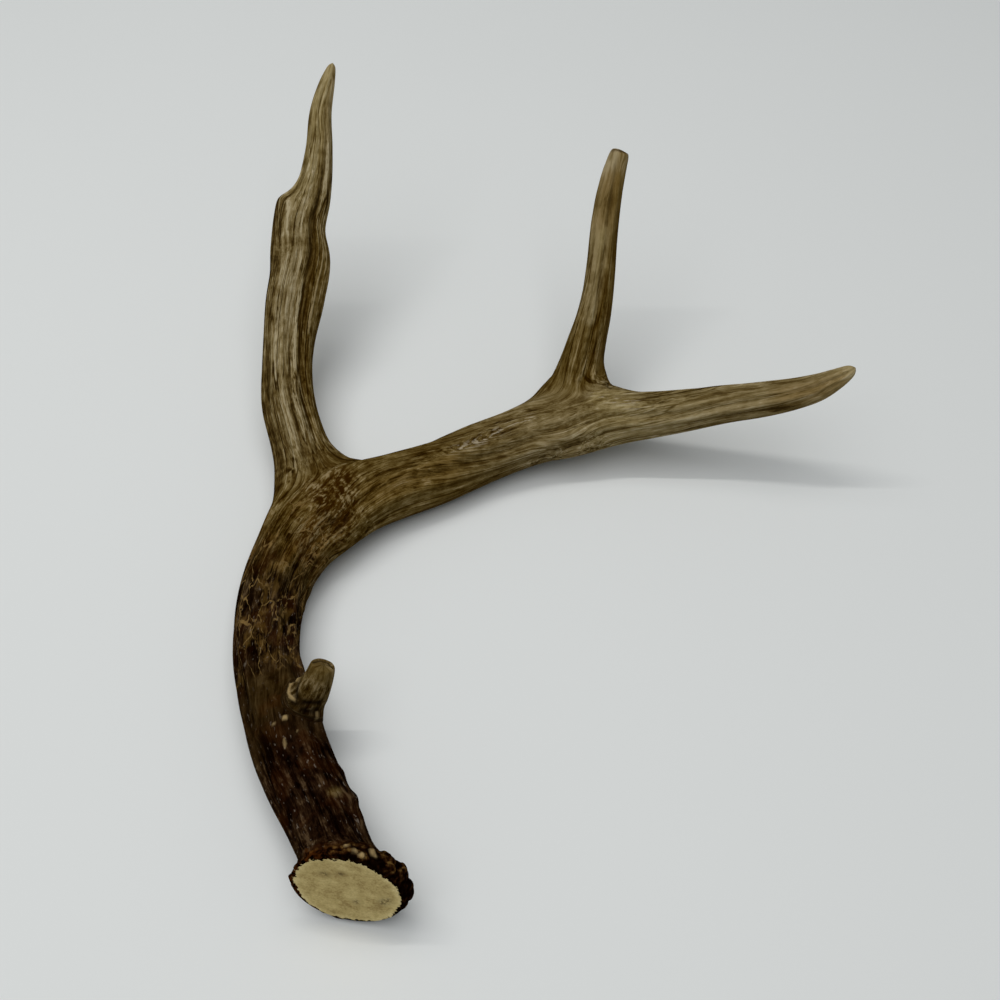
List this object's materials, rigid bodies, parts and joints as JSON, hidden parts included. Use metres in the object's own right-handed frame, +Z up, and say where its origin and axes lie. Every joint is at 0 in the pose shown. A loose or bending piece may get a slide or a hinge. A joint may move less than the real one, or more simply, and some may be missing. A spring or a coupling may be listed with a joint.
{
  "type": "deer antler",
  "caption": "Left antler of a white-tailed deer, sawn off at the burr: a curved beam with a broken brow tine and long rising tines, lying on its outer side.",
  "frame": {"origin": "on the floor that the antler lies on, under the middle of its footprint", "axes": "+Z up from the floor, +Y from the sawn burr towards the tips of the tines, +X towards the tip of the main beam"},
  "size_m": [0.269, 0.3904, 0.108],
  "materials": {
    "beam_bone": "weathered antler bone, satin: near-black brown low down, with paler ridges, to grey-tan towards the tip, and a cream sawn face",
    "brow_tine_bone": "weathered antler bone, matt grey-brown, with a worn broken end",
    "second_tine_bone": "weathered antler bone, satin grey-tan with long dark grooves and pale ridges",
    "third_tine_bone": "weathered antler bone, satin tan, darker and rubbed smooth at the tip"
  },
  "bodies": {
    "root": {"main_beam": "beam_bone", "brow_tine": "brow_tine_bone", "second_tine": "second_tine_bone", "third_tine": "third_tine_bone"}
  },
  "joints": []
}
